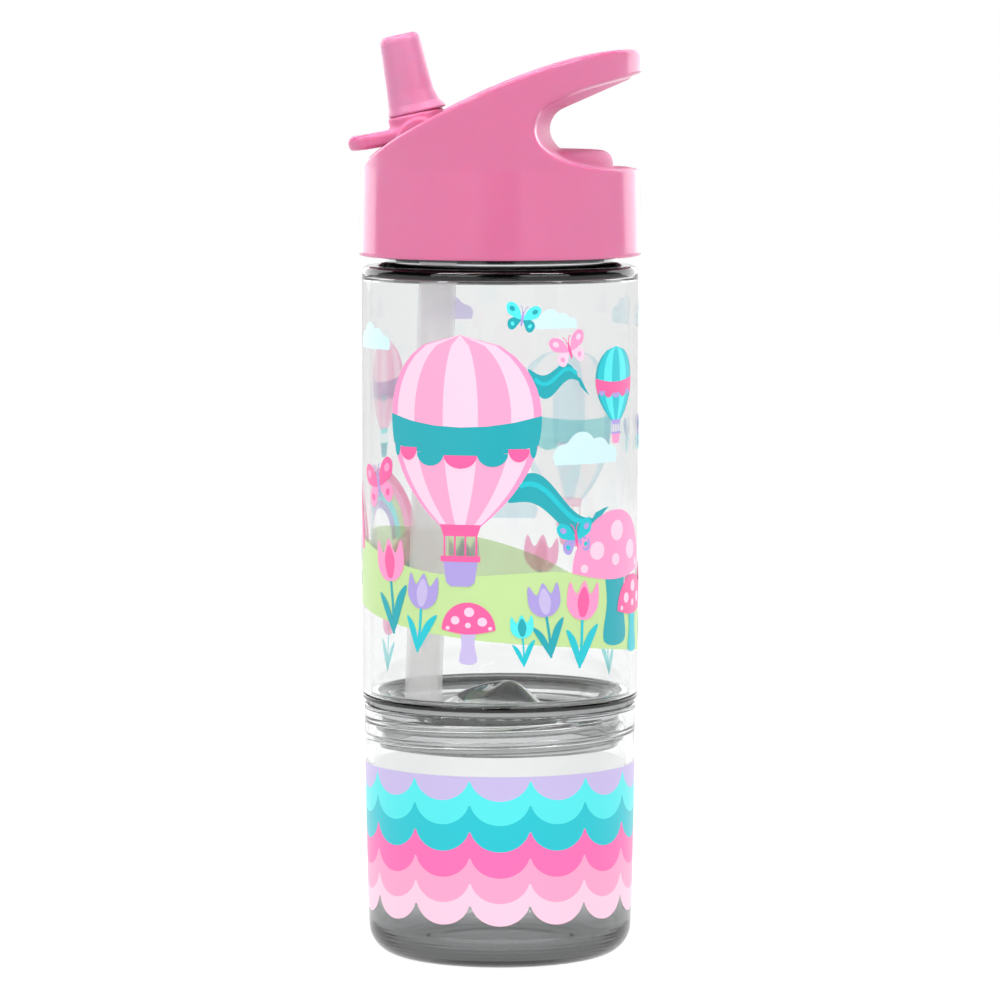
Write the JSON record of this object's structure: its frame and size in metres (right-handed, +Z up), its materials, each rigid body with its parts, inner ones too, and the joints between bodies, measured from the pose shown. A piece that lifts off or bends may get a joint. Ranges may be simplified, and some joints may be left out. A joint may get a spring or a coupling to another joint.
{
  "type": "kids water bottle",
  "caption": "Clear child's water bottle with a screw-on lid, flip-up drinking spout, carrying hook, straw and a screw-on snack cup under its floor.",
  "frame": {"origin": "on the bottle's axis, in the plane that the snack cup stands on", "axes": "+Z up along the bottle, -X towards the drinking spout, +X towards the carrying hook, so the pictured side faces -Y"},
  "size_m": [0.0751, 0.0724, 0.2343],
  "materials": {
    "pink_polypropylene": "moulded pink polypropylene, polished",
    "pink_soft_mouthpiece": "soft pink mouthpiece, satin",
    "clear_copolyester": "clear moulded copolyester, polished",
    "smoke_copolyester": "faintly smoky clear copolyester, polished",
    "frosted_polyethylene": "frosted extruded tube",
    "black_polypropylene": "plain moulded black",
    "clear_silicone": "translucent silicone"
  },
  "bodies": {
    "snack_cup": {"snack_cup": "smoke_copolyester"},
    "cup_seal": {"cup_seal": "clear_silicone"},
    "bottle": {"bottle_body": "clear_copolyester", "bottle_base": "smoke_copolyester"},
    "cap_gasket": {"cap_gasket": "clear_silicone"},
    "lid": {"cap_shell": "pink_polypropylene", "cap_liner": "black_polypropylene", "spout_seal": "clear_silicone", "vent_valve": "clear_silicone", "straw": "frosted_polyethylene"},
    "spout": {"spout_barrel": "pink_polypropylene", "spout_mouthpiece": "pink_soft_mouthpiece"}
  },
  "joints": [
    {"name": "bottle_lift", "type": "slide", "parent": "snack_cup", "child": "cup_seal", "axis": [0, 0, 1], "range_m": [0, 0.0168]},
    {"name": "bottle_turn", "type": "hinge", "parent": "cup_seal", "child": "bottle", "pos_m": [0, 0, 0], "axis": [0, 0, 1], "range_deg": [0, 1440]},
    {"name": "cap_lift", "type": "slide", "parent": "bottle", "child": "cap_gasket", "axis": [0, 0, 1], "range_m": [0, 0.0252]},
    {"name": "cap_turn", "type": "hinge", "parent": "cap_gasket", "child": "lid", "pos_m": [0, 0, 0], "axis": [0, 0, 1], "range_deg": [0, 2160]},
    {"name": "spout_flip", "type": "hinge", "parent": "lid", "child": "spout", "pos_m": [-0.0198, 0, 0.2065], "axis": [0, 1, 0], "range_deg": [0, 75]}
  ],
  "couplings": [
    {"joint": "bottle_turn", "follows": "bottle_lift", "rad_per_m": 1496},
    {"joint": "cap_turn", "follows": "cap_lift", "rad_per_m": 1496}
  ]
}
